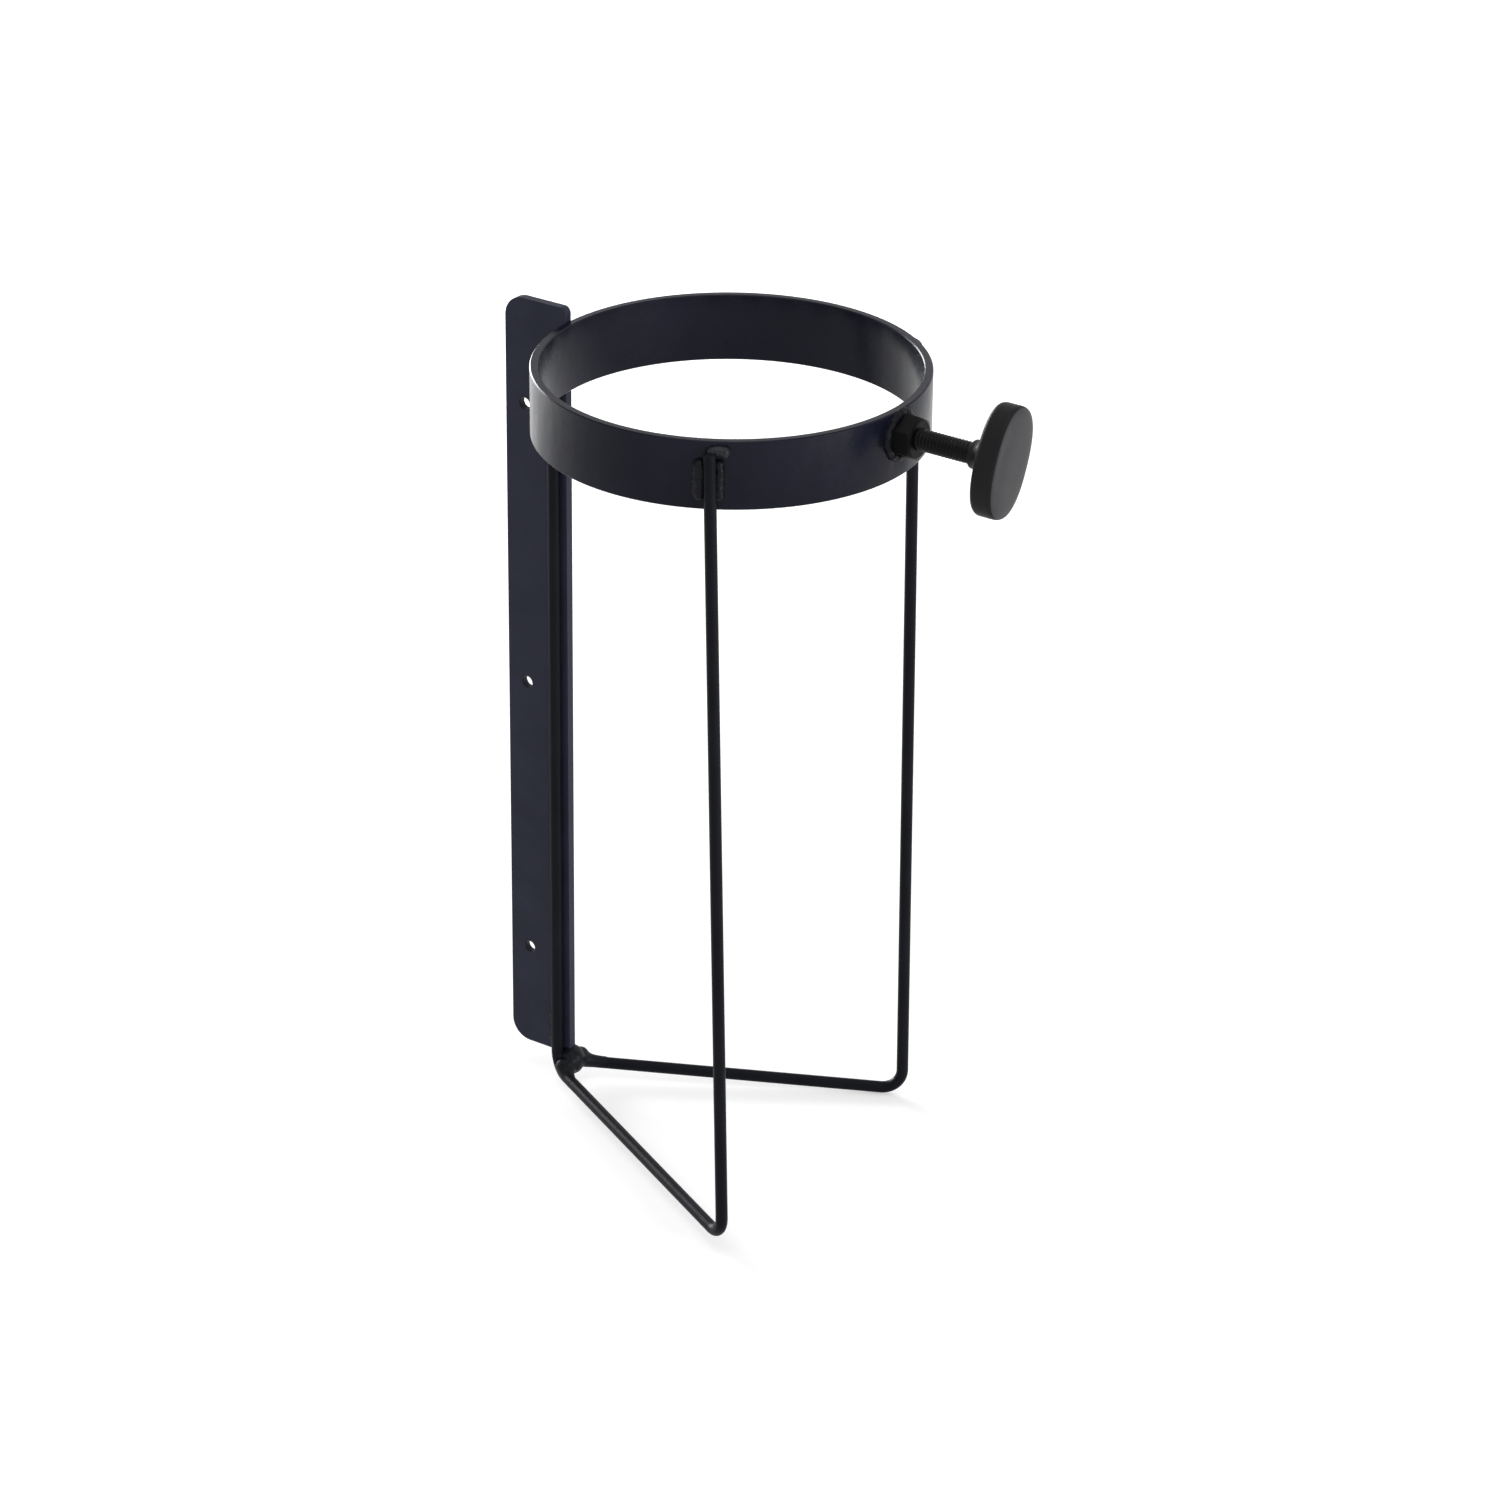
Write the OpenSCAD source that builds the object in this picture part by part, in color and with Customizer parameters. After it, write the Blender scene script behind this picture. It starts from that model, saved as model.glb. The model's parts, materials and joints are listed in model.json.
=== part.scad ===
// Gas cylinder bracket: a drilled flat bar carries a rolled ring with a thumbscrew,
// and two bent wires hang from the ring to hold the foot of the cylinder.
// Frame: origin in the middle screw hole at mid thickness of the bar, +Z up,
// +X from the bar to the ring and the thumbscrew, Y across the bar.
// Sizes are in millimetres.

/* [Mounting bar] */
// Length of the bar, top to bottom
bar_length = 307.5; // [280:0.5:340]
// Width of the bar, from its free edge to the ring
bar_width = 27.3; // [24:0.1:36]
// Thickness of the bar
bar_thickness = 3.2; // [2.5:0.1:5]
// Corner radius on the free edge of the bar
bar_outer_corner = 8; // [3:0.5:11]
// Corner radius on the ring edge of the bar
bar_inner_corner = 2.5; // [1:0.5:4]
// Diameter of the three screw holes
hole_diameter = 4.8; // [4:0.1:7]
// Distance between neighbouring screw holes
hole_spacing = 112.5; // [90:0.5:118]
// Distance from the free edge of the bar to the hole centres
hole_inset = 8.4; // [6:0.1:11]

/* [Ring] */
// Inside diameter of the ring, a little over the cylinder's own
ring_inner_diameter = 136.6; // [110:0.2:180]
// Height of the rolled band
band_height = 25.4; // [20:0.1:40]
// Thickness of the rolled band
band_thickness = 3.2; // [2.5:0.1:5]
// Distance from the top of the bar down to the top of the band
band_drop = 5.2; // [2:0.1:12]
// Broken edge along the rims of the band
band_edge_break = 0.4; // [0.1:0.1:0.8]

/* [Wires] */
// Diameter of the wire
wire_diameter = 4.5; // [3.5:0.1:6]
// Angle of each outer leg round the ring, measured from the thumbscrew
wire_angle = 61.3; // [45:0.1:75]
// Lean of the left outer leg from upright, foot outwards
left_leg_lean = 2.8; // [0:0.1:4]
// Lean of the right outer leg from upright, foot outwards
right_leg_lean = 0.5; // [0:0.1:4]
// Fall of the left foot wire from level, away from the bar
left_foot_fall = -0.4; // [-1:0.1:3]
// Fall of the right foot wire from level, away from the bar
right_foot_fall = 1.9; // [-1:0.1:3]
// Centre-line radius of the bends
wire_bend_radius = 8; // [6:0.5:14]
// Distance from the bottom of the bar down to the corners under the inner legs
foot_drop = 6.4; // [6:0.1:12]
// Distance from the top of the band down to the top of the outer legs
outer_leg_drop = 3.5; // [2:0.1:8]
// Distance from the top of the band down to the top of the inner legs
inner_leg_drop = 9; // [6:0.1:16]
// Distance from the ring edge of the bar to the centre of the inner legs
inner_leg_inset = 4.4; // [4:0.1:6]

/* [Welds] */
// Gap between faces that are held together by a weld
weld_gap = 0.03; // [0.01:0.01:0.08]
// Radius of the weld beads
bead_radius = 1.9; // [1.4:0.1:2.1]
// Radius of the heavy bead on the bar side of each outer leg
heavy_bead_radius = 2.6; // [2.2:0.1:3]
// Distance from one ripple of a bead to the next
bead_pitch = 1.7; // [1.2:0.1:2.2]
// Length of the beads that join an outer leg to the band
ring_bead_length = 15; // [8:0.5:17]
// Length of the beads that join an inner leg to the bar
bar_bead_length = 14; // [8:0.5:30]
// Length of the short bead that lies across the top of an outer leg
cap_bead_length = 8; // [6:0.5:10]
// Distance from the cut end of a leg down to its first bead
bead_end_drop = 3; // [2:0.5:4]
// Radius of the puddle between the wires under the bar
foot_weld_radius = 6.2; // [5.8:0.1:7]

/* [Clamp thumbscrew] */
// Outside diameter of the thread
thread_diameter = 7.9; // [6:0.1:10]
// Radial clearance of the thread in the weld nut
thread_clearance = 0.06; // [0.02:0.01:0.1]
// Radial clearance of the thread in the wall of the band
wall_clearance = 0.45; // [0.3:0.05:1]
// Distance from the top of the band down to the axis of the thumbscrew
screw_drop = 9.4; // [9:0.1:14]
// Size across the flats of the weld nut
nut_across_flats = 14.3; // [12.5:0.1:16]
// Thickness of the weld nut
nut_thickness = 8; // [5:0.1:12]
// Distance from the band to the back of the knob, with the screw backed off
knob_standoff = 36.1; // [30:0.1:50]
// Distance from the bore of the ring to the tip, with the screw backed off
tip_recess = 0.5; // [0.3:0.1:1]

/* [Knob] */
// Length of the oval knob
knob_length = 40.4; // [32:0.1:50]
// Width of the oval knob
knob_width = 22.8; // [18:0.1:30]
// Thickness of the oval knob
knob_thickness = 9.6; // [8:0.1:14]
// Rounding of the rim of the knob
knob_rim_radius = 2; // [1:0.1:3]
// Height of the crown on the outer face of the knob
knob_crown = 0.8; // [0.2:0.1:1.5]
// Diameter of the hub under the knob
hub_diameter = 14; // [12:0.1:16]
// Length of the hub under the knob
hub_length = 6; // [4:0.1:10]
// Angle of the long axis of the knob from upright, screw backed off
knob_angle = 22.9; // [-90:0.1:90]
// Length of the thread that is held inside the knob and its hub
thread_in_knob = 12; // [8:0.1:13]

/* [Soft tip] */
// Diameter of the nose of the soft tip
tip_diameter = 6.2; // [4:0.1:6.4]
// Length of the nose of the soft tip
tip_length = 3; // [2:0.1:3]
// Diameter of the stem that turns in the end of the thread
tip_stem_diameter = 3.2; // [2.5:0.1:3.6]
// Length of that stem
tip_stem_length = 5; // [3:0.1:8]
// Radial running clearance of the stem in its hole
tip_clearance = 0.06; // [0.02:0.01:0.1]
// End clearance between the nose and the thread, and past the stem
tip_end_gap = 0.1; // [0.05:0.01:0.2]

/* [Hidden] */
$fn = 96;

// Sides and colours
LEFT = -1;
RIGHT = 1;
COATED_STEEL = [0.13, 0.13, 0.16];
COATED_WELD = [0.16, 0.16, 0.18];
BLACK_STEEL = [0.10, 0.10, 0.11];
KNOB_PLASTIC = [0.36, 0.36, 0.37];
TIP_NYLON = [0.85, 0.83, 0.78];
// Overcut of every hole and notch
CUT = 1;
// Bare strip of the band above and below its beads
RIM = 1;
// Thickness of a slice of the knob
SLICE = 0.01;
// Broken edge at the cut ends of the wires and of the thread
END_BREAK = 0.5;
// Height of the collar that closes a wire at each end of a bend
COLLAR = 0.01;

// Bar
bar_top = bar_length / 2;
bar_bottom = -bar_length / 2;
bar_ring_edge = bar_width - hole_inset;
bar_face = bar_thickness / 2;
hole_heights = [-hole_spacing, 0, hole_spacing];

// Ring
ring_inner_radius = ring_inner_diameter / 2;
ring_outer_radius = ring_inner_radius + band_thickness;
ring_x = bar_ring_edge + weld_gap + ring_outer_radius;
band_top = bar_top - band_drop;
band_bottom = band_top - band_height;

// Wires: each lies in one upright plane, from its inner leg to its outer leg
wire_radius = wire_diameter / 2;
foot_z = bar_bottom - foot_drop;
inner_leg_x = bar_ring_edge - inner_leg_inset;
inner_leg_y = bar_face + weld_gap + wire_radius;
inner_leg_top = band_top - inner_leg_drop;
outer_leg_reach = ring_outer_radius + weld_gap + wire_radius;
outer_leg_x = ring_x + outer_leg_reach * cos(wire_angle);
outer_leg_y = outer_leg_reach * sin(wire_angle);
outer_leg_top = band_top - outer_leg_drop;
foot_span = norm([outer_leg_x - inner_leg_x, outer_leg_y - inner_leg_y]);
foot_angle = atan2(outer_leg_y - inner_leg_y, outer_leg_x - inner_leg_x);

// Thumbscrew: places along +X from the axis of the ring
screw_z = band_top - screw_drop;
thread_radius = thread_diameter / 2;
nut_seat = ring_outer_radius + weld_gap;
knob_back = ring_outer_radius + knob_standoff;
hub_face = knob_back - hub_length;
tip_nose = ring_inner_radius + tip_recess;
tip_shoulder = tip_nose + tip_length;
stud_start = tip_shoulder + tip_end_gap;
stud_end = hub_face + thread_in_knob;

// Moves a part from the ring's axis at the screw's height, with its own Z along +X
module on_screw_axis(along) {
    translate([ring_x + along, 0, screw_z]) rotate([0, 90, 0]) children();
}

// Moves a part to the axis of the ring
module on_ring_axis() {
    translate([ring_x, 0, 0]) children();
}

// Cylinder from one height to another
module rod(radius, from, to) {
    translate([0, 0, from]) cylinder(r = radius, h = to - from);
}

// Flat blank of the bar, in X and Z
module bar_outline() {
    outer_x = -hole_inset;
    difference() {
        translate([outer_x, bar_bottom]) square([bar_width, bar_length]);
        for (end = [-1, 1]) {
            corner_cut(outer_x, -1, end, bar_outer_corner);
            corner_cut(bar_ring_edge, 1, end, bar_inner_corner);
        }
    }
}

// Waste outside one rounded corner of the bar; side and end are -1 or 1
module corner_cut(edge_x, side, end, radius) {
    corner_z = end * bar_length / 2;
    centre = [edge_x - side * radius, corner_z - end * radius];
    difference() {
        translate([
            side > 0 ? centre[0] : edge_x - CUT,
            end > 0 ? centre[1] : corner_z - CUT
        ]) square(radius + CUT);
        translate(centre) circle(r = radius);
    }
}

module mounting_bar() {
    color(COATED_STEEL) difference() {
        translate([0, bar_face, 0]) rotate([90, 0, 0])
            linear_extrude(bar_thickness) bar_outline();
        for (z = hole_heights)
            translate([0, bar_face + CUT, z]) rotate([90, 0, 0])
                cylinder(d = hole_diameter, h = bar_thickness + 2 * CUT);
    }
}

// Section of the band with broken edges
module band_section() {
    e = band_edge_break;
    polygon([
        [ring_inner_radius, band_bottom + e], [ring_inner_radius + e, band_bottom],
        [ring_outer_radius - e, band_bottom], [ring_outer_radius, band_bottom + e],
        [ring_outer_radius, band_top - e], [ring_outer_radius - e, band_top],
        [ring_inner_radius + e, band_top], [ring_inner_radius, band_top - e]
    ]);
}

module ring_band() {
    color(COATED_STEEL) difference() {
        on_ring_axis() rotate_extrude() band_section();
        on_screw_axis(ring_inner_radius - 2 * CUT)
            cylinder(r = thread_radius + wall_clearance, h = band_thickness + 4 * CUT);
    }
}

// Length of wire along Z with a broken edge at its far end
module cut_wire(length) {
    rod(wire_radius, 0, length - END_BREAK);
    translate([0, 0, length - END_BREAK])
        cylinder(r1 = wire_radius, r2 = wire_radius - END_BREAK, h = END_BREAK);
}

// Bend of a wire that comes down at x = 0 and turns towards +X, with its corner at the origin
module wire_bend(turn) {
    translate([wire_bend_radius, 0, setback(turn)]) rotate([90, 0, 0])
        rotate([0, 0, 180]) rotate_extrude(angle = turn)
            translate([wire_bend_radius, 0]) circle(r = wire_radius);
    for (tilt = [0, 180 - turn])
        rotate([0, tilt, 0]) translate([0, 0, setback(turn)])
            sphere(r = wire_radius + COLLAR);
}

// Distance from a bend's corner to each of its ends
function setback(turn) = wire_bend_radius * tan(turn / 2);

// Length of an outer leg's axis, from its top to the corner of its bend
function leg_reach(lean, fall) =
    (outer_leg_top - foot_z + foot_span * tan(fall)) / (cos(lean) - sin(lean) * tan(fall));

// Length of a foot wire's axis, from corner to corner
function foot_reach(lean, fall) = (foot_span + leg_reach(lean, fall) * sin(lean)) / cos(fall);

// One wire in its own plane: inner leg at x = 0, foot along +X, then the outer leg
module wire_shape(lean, fall) {
    inner_turn = 90 - fall;
    outer_turn = 90 + fall + lean;
    foot = foot_reach(lean, fall);
    translate([0, 0, foot_z]) {
        wire_bend(inner_turn);
        translate([0, 0, setback(inner_turn)])
            cut_wire(inner_leg_top - foot_z - setback(inner_turn));
        rotate([0, fall, 0]) {
            translate([setback(inner_turn), 0, 0]) rotate([0, 90, 0])
                rod(wire_radius, 0, foot - setback(inner_turn) - setback(outer_turn));
            translate([foot, 0, 0]) rotate([0, -fall - lean, 0]) {
                mirror([1, 0, 0]) wire_bend(outer_turn);
                translate([0, 0, setback(outer_turn)])
                    cut_wire(leg_reach(lean, fall) - setback(outer_turn));
            }
        }
    }
}

module wire(side) {
    lean = side == LEFT ? left_leg_lean : right_leg_lean;
    fall = side == LEFT ? left_foot_fall : right_foot_fall;
    translate([inner_leg_x, side * inner_leg_y, 0])
        rotate([0, 0, side * foot_angle]) wire_shape(lean, fall);
}

module left_wire() { color(COATED_STEEL) wire(LEFT); }
module right_wire() { color(COATED_STEEL) wire(RIGHT); }

// Rippled weld bead along Z, from its top end at z = 0 downwards
module bead(length, radius = bead_radius) {
    ripples = ceil((length - 2 * radius) / bead_pitch);
    step = (length - 2 * radius) / ripples;
    for (i = [0:ripples])
        translate([0, 0, -radius - i * step]) sphere(r = radius, $fn = 48);
}

// Space that the bar takes
module bar_space() {
    translate([-hole_inset, -bar_face, bar_bottom])
        cube([bar_width, bar_thickness, bar_length]);
}

// Space that the band and the bore of the ring take
module ring_space() {
    on_ring_axis() rod(ring_outer_radius, band_bottom - CUT, band_top + CUT, $fn = 360);
}

// Bead in the corner between the face of the bar and the ring
module ring_weld(side) {
    color(COATED_WELD) difference() {
        translate([bar_ring_edge, side * (bar_face + bead_radius / 3), band_top - RIM])
            bead(band_height - 2 * RIM);
        bar_space();
        ring_space();
    }
}

module left_ring_weld() { ring_weld(LEFT); }
module right_ring_weld() { ring_weld(RIGHT); }

// Beads on both sides of an outer leg, in the grooves between wire and band, the heavy one
// towards the bar, and a short one across the top of the leg on the other side
module leg_welds(side) {
    color(COATED_WELD) difference() {
        on_ring_axis() union() {
            groove_bead(side, 1, heavy_bead_radius);
            groove_bead(side, -1, bead_radius);
            rotate([0, 0, side * wire_angle])
                translate([ring_outer_radius + bead_radius / 3, -side, outer_leg_top])
                    rotate([-side * 90, 0, 0]) bead(cap_bead_length);
        }
        ring_space();
        wire(side);
    }
}

// Bead along an outer leg; way is 1 towards the bar and -1 away from it
module groove_bead(side, way, radius) {
    groove = atan2(wire_radius + radius / 2, outer_leg_reach);
    rotate([0, 0, side * (wire_angle + way * groove)])
        translate([ring_outer_radius + radius / 3, 0, outer_leg_top - bead_end_drop])
            bead(ring_bead_length, radius);
}

module left_leg_welds() { leg_welds(LEFT); }
module right_leg_welds() { leg_welds(RIGHT); }

// Beads on the free-edge side of an inner leg, one at its top and one at its foot
module bar_welds(side) {
    bead_tops = [inner_leg_top - bead_end_drop, bar_bottom + bead_end_drop + bar_bead_length];
    color(COATED_WELD) difference() {
        for (z = bead_tops)
            translate([inner_leg_x - wire_radius, side * (bar_face + bead_radius / 3), z])
                bead(bar_bead_length);
        bar_space();
        wire(side);
    }
}

module left_bar_welds() { bar_welds(LEFT); }
module right_bar_welds() { bar_welds(RIGHT); }

// Puddle between the two wires under the foot of the bar
module foot_weld() {
    color(COATED_WELD) difference() {
        translate([inner_leg_x + wire_radius, 0, bar_bottom - foot_drop / 2])
            sphere(r = foot_weld_radius);
        bar_space();
        wire(LEFT);
        wire(RIGHT);
    }
}

// Hexagonal prism along Z with chamfered corners on its outer face
module hexagon_nut() {
    corner = nut_across_flats / 2 / cos(30);
    intersection() {
        cylinder(r = corner, h = nut_thickness, $fn = 6);
        union() {
            cylinder(r = corner + CUT, h = nut_thickness - 1);
            translate([0, 0, nut_thickness - 1])
                cylinder(r1 = corner, r2 = corner - 1.7, h = 1);
        }
    }
}

module weld_nut() {
    color(BLACK_STEEL) on_screw_axis(nut_seat) difference() {
        hexagon_nut();
        translate([0, 0, -CUT])
            cylinder(r = thread_radius + thread_clearance, h = nut_thickness + 2 * CUT);
    }
}

// Fillet of weld round the nut, on the band
module nut_weld() {
    color(COATED_WELD) difference() {
        on_screw_axis(nut_seat) rotate_extrude()
            translate([nut_across_flats / 2 + 0.5, 0]) circle(r = bead_radius, $fn = 32);
        ring_space();
        on_screw_axis(nut_seat - CUT)
            cylinder(d = nut_across_flats / cos(30), h = nut_thickness, $fn = 6);
    }
}

module thumbscrew_stud() {
    socket = tip_stem_length + 2 * tip_end_gap;
    color(BLACK_STEEL) on_screw_axis(stud_start) difference() {
        union() {
            cylinder(r1 = thread_radius - END_BREAK, r2 = thread_radius, h = END_BREAK);
            rod(thread_radius, END_BREAK, stud_end - stud_start);
        }
        translate([0, 0, -CUT])
            cylinder(r = tip_stem_diameter / 2 + tip_clearance, h = socket + CUT);
    }
}

// Places through the thickness of the knob, as [height, distance in from the outline]:
// round the back rim, round the front rim, and over the crown
function knob_levels() = let (
    rim = knob_rim_radius,
    flat = knob_thickness - knob_crown,
    steps = 5
) concat(
    [for (i = [0:steps]) let (a = 90 * i / steps) [rim * (1 - cos(a)), rim * (1 - sin(a))]],
    [for (i = [0:steps]) let (a = 90 * i / steps)
        [flat - rim * (1 - sin(a)), rim * (1 - cos(a))]],
    [for (i = [1:3]) [flat + knob_crown * sin(30 * i),
                      rim + (knob_width / 2 - rim) * 0.9 * (1 - cos(30 * i))]]
);

// Thin oval slice of the knob
module knob_slice(level) {
    translate([0, 0, level[0]])
        scale([knob_length / 2 - level[1], knob_width / 2 - level[1], 1])
            cylinder(r = 1, h = SLICE, $fn = 64);
}

// Oval on z = 0, long along X, lofted from slice to slice
module knob_body() {
    levels = knob_levels();
    for (i = [1:len(levels) - 1]) hull() {
        knob_slice(levels[i - 1]);
        knob_slice(levels[i]);
    }
}

module oval_knob() {
    color(KNOB_PLASTIC) difference() {
        union() {
            on_screw_axis(knob_back) rotate([0, 0, 180 - knob_angle]) knob_body();
            on_screw_axis(hub_face) cylinder(
                d1 = hub_diameter - 2, d2 = hub_diameter, h = hub_length + 1);
        }
        on_screw_axis(hub_face - CUT)
            cylinder(r = thread_radius, h = stud_end - hub_face + CUT);
    }
}

module soft_tip() {
    color(TIP_NYLON) on_screw_axis(tip_nose) union() {
        cylinder(r1 = tip_diameter / 2 - END_BREAK, r2 = tip_diameter / 2, h = END_BREAK);
        rod(tip_diameter / 2, END_BREAK, tip_length);
        rod(tip_stem_diameter / 2, tip_length, tip_length + tip_end_gap + tip_stem_length);
    }
}

mounting_bar();
ring_band();
left_wire();
right_wire();
left_ring_weld();
right_ring_weld();
left_leg_welds();
right_leg_welds();
left_bar_welds();
right_bar_welds();
foot_weld();
weld_nut();
nut_weld();
thumbscrew_stud();
oval_knob();
soft_tip();
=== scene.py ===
"""Looks of a gas cylinder bracket: coated steel, welds, a threaded thumbscrew and its knob.

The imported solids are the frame. This script gives each of them its finish, and makes the
weld beads, the screw thread and the moulded knob as meshes of their own. Lengths are in metres.
"""

import json
import logging
import math
from collections.abc import Iterable, Sequence
from dataclasses import dataclass, field
from enum import Enum

import bpy
from mathutils import Matrix, Vector, noise


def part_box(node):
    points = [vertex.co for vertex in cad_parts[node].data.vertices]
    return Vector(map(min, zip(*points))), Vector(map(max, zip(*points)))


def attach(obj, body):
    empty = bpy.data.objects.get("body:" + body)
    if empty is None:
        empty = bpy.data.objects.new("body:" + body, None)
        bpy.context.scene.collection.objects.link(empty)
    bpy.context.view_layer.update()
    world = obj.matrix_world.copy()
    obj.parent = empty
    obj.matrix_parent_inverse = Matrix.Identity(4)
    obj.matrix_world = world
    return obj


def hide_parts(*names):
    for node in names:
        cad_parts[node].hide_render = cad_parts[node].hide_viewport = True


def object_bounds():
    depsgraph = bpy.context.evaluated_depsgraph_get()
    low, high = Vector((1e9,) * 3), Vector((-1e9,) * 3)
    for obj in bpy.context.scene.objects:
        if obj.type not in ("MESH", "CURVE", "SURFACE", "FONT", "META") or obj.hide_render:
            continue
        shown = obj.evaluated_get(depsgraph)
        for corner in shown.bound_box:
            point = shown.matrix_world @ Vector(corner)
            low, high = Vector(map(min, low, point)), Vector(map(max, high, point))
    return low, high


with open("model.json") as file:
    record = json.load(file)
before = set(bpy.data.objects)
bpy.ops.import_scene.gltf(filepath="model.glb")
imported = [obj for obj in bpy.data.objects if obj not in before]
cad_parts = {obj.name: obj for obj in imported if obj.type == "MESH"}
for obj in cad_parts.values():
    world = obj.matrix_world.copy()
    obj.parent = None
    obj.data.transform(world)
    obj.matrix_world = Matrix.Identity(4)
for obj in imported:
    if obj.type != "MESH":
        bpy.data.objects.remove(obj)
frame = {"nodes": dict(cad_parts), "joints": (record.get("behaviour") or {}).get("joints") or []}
CAD_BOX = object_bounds()

LOG = logging.getLogger("bracket")
MM = 0.001
TURN = 2 * math.pi
WHITE = (1, 1, 1, 1)

Colour = tuple[float, float, float]


class Side(Enum):
    """The two sides of the bar, as the sign of Y."""

    LEFT = -1
    RIGHT = 1


class Body(Enum):
    """The rigid bodies that the new pieces ride on."""

    BRACKET = "bracket"
    THUMBSCREW = "thumbscrew"


# ---------- places


@dataclass(frozen=True)
class Layout:
    """Places that the sub-assemblies share, worked out from the frame's boxes.

    Attributes:
        wire_radius: Radius of the wire that both legs are bent from.
        wire_angle: Angle of the outer legs round the ring, from the thumbscrew, in degrees.
        leg_gap: Gap between an outer leg and the band.
    """

    wire_radius: float = 2.25 * MM
    wire_angle: float = 61.3
    leg_gap: float = 0.03 * MM

    @property
    def band(self) -> tuple[Vector, Vector]:
        """Lowest and highest corner of the ring's band."""
        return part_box("ring_band")

    @property
    def ring_centre(self) -> Vector:
        """Point on the ring's axis, at the top of the band."""
        low, high = self.band
        return Vector(((low.x + high.x) / 2, 0, high.z))

    @property
    def ring_radius(self) -> float:
        """Outer radius of the band."""
        low, high = self.band
        return (high.x - low.x) / 2

    @property
    def bar(self) -> tuple[Vector, Vector]:
        """Lowest and highest corner of the mounting bar."""
        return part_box("mounting_bar")

    @property
    def screw_axis(self) -> Vector:
        """Point on the thumbscrew's axis, on the outside of the band."""
        joint = next(j for j in frame["joints"] if j["name"] == "screw_turn")
        return Vector(joint["pos_m"])

    def inner_leg(self, side: Side) -> Vector:
        """Point on the axis of a wire's inner leg.

        Args:
            side: Which wire.

        Returns:
            The point that is level with the bar's foot.
        """
        low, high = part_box(f"{side.name.lower()}_wire")
        near = low.y if side is Side.RIGHT else high.y
        y = near + side.value * self.wire_radius
        return Vector((low.x + self.wire_radius, y, self.bar[0].z))

    def outer_leg(self, side: Side) -> Vector:
        """Cut end of a wire's outer leg, on its axis.

        Args:
            side: Which wire.

        Returns:
            The middle of the cut end.
        """
        angle = side.value * math.radians(self.wire_angle)
        reach = self.ring_radius + self.leg_gap + self.wire_radius
        centre = self.ring_centre
        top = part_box(f"{side.name.lower()}_wire")[1].z
        return Vector((centre.x + reach * math.cos(angle), reach * math.sin(angle), top))


# ---------- meshes


@dataclass
class Shell:
    """Points and faces of a surface.

    Attributes:
        points: The surface's points.
        faces: Faces, each as indices of points.
        accent: Indices of the faces that get the second finish, a painted highlight.
    """

    points: list[Vector] = field(default_factory=list)
    faces: list[tuple[int, ...]] = field(default_factory=list)
    accent: set[int] = field(default_factory=set)

    def add(self, other: "Shell") -> None:
        """Adds another surface's points and faces to this one.

        Args:
            other: The surface to add.
        """
        first = len(self.points)
        self.points += other.points
        self.faces += [tuple(first + i for i in face) for face in other.faces]

    def piece(self, name: str, body: Body, slot: str, finishes: Sequence["Finish"],
              stands_for: Iterable[str] = ()) -> bpy.types.Object:
        """Makes a smooth object of the surface that rides on a body.

        Args:
            name: The piece's name.
            body: The body that it rides on.
            slot: The record's material slot; not used.
            finishes: Its finish, and that of its highlight faces, a painted highlight, if it has
                any.
            stands_for: CAD nodes that it is shown in place of.

        Returns:
            The new object.
        """
        mesh = bpy.data.meshes.new(name)
        mesh.from_pydata([tuple(p) for p in self.points], [], self.faces)
        mesh.polygons.foreach_set("use_smooth", [True] * len(mesh.polygons))
        # The second finish goes on the listed faces; it is always a painted highlight here.
        material_places = [int(i in self.accent) for i in range(len(self.faces))]
        mesh.polygons.foreach_set("material_index", material_places)
        for finish in finishes:
            mesh.materials.append(finish.material())
        mesh.update()
        made = bpy.data.objects.new(name, mesh)
        bpy.context.scene.collection.objects.link(made)
        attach(made, body.value)
        if stands_for:
            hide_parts(*stands_for)
        LOG.info("%s: %d points, %d faces", name, len(self.points), len(self.faces))
        return made


def loft(rings: Sequence[Sequence[Vector]], closed: bool = False) -> Shell:
    """Joins rings of equally many points into a surface, with flat ends unless closed.

    Args:
        rings: Loops of points, each going the same way round.
        closed: Whether the last ring is joined to the first.

    Returns:
        The surface.
    """
    sides = len(rings[0])
    shell = Shell([Vector(p) for ring in rings for p in ring])
    last = len(rings) if closed else len(rings) - 1
    for i in range(last):
        a, b = i * sides, (i + 1) % len(rings) * sides
        for k in range(sides):
            n = (k + 1) % sides
            shell.faces.append((a + k, a + n, b + n, b + k))
    if not closed:
        shell.faces.append(tuple(reversed(range(sides))))
        shell.faces.append(tuple(range(last * sides, last * sides + sides)))
    return shell


def arc(centre: tuple[float, float], radius: float, start: float, end: float,
        steps: int) -> list[tuple[float, float]]:
    """Points along an arc.

    Args:
        centre: The arc's centre.
        radius: Its radius.
        start: Angle of the first point, in degrees.
        end: Angle of the last point, in degrees.
        steps: How many stretches it has.

    Returns:
        The points, with both ends.
    """
    angles = [math.radians(start + (end - start) * i / steps) for i in range(steps + 1)]
    return [(centre[0] + radius * math.cos(a), centre[1] + radius * math.sin(a)) for a in angles]


# ---------- finishes


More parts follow.
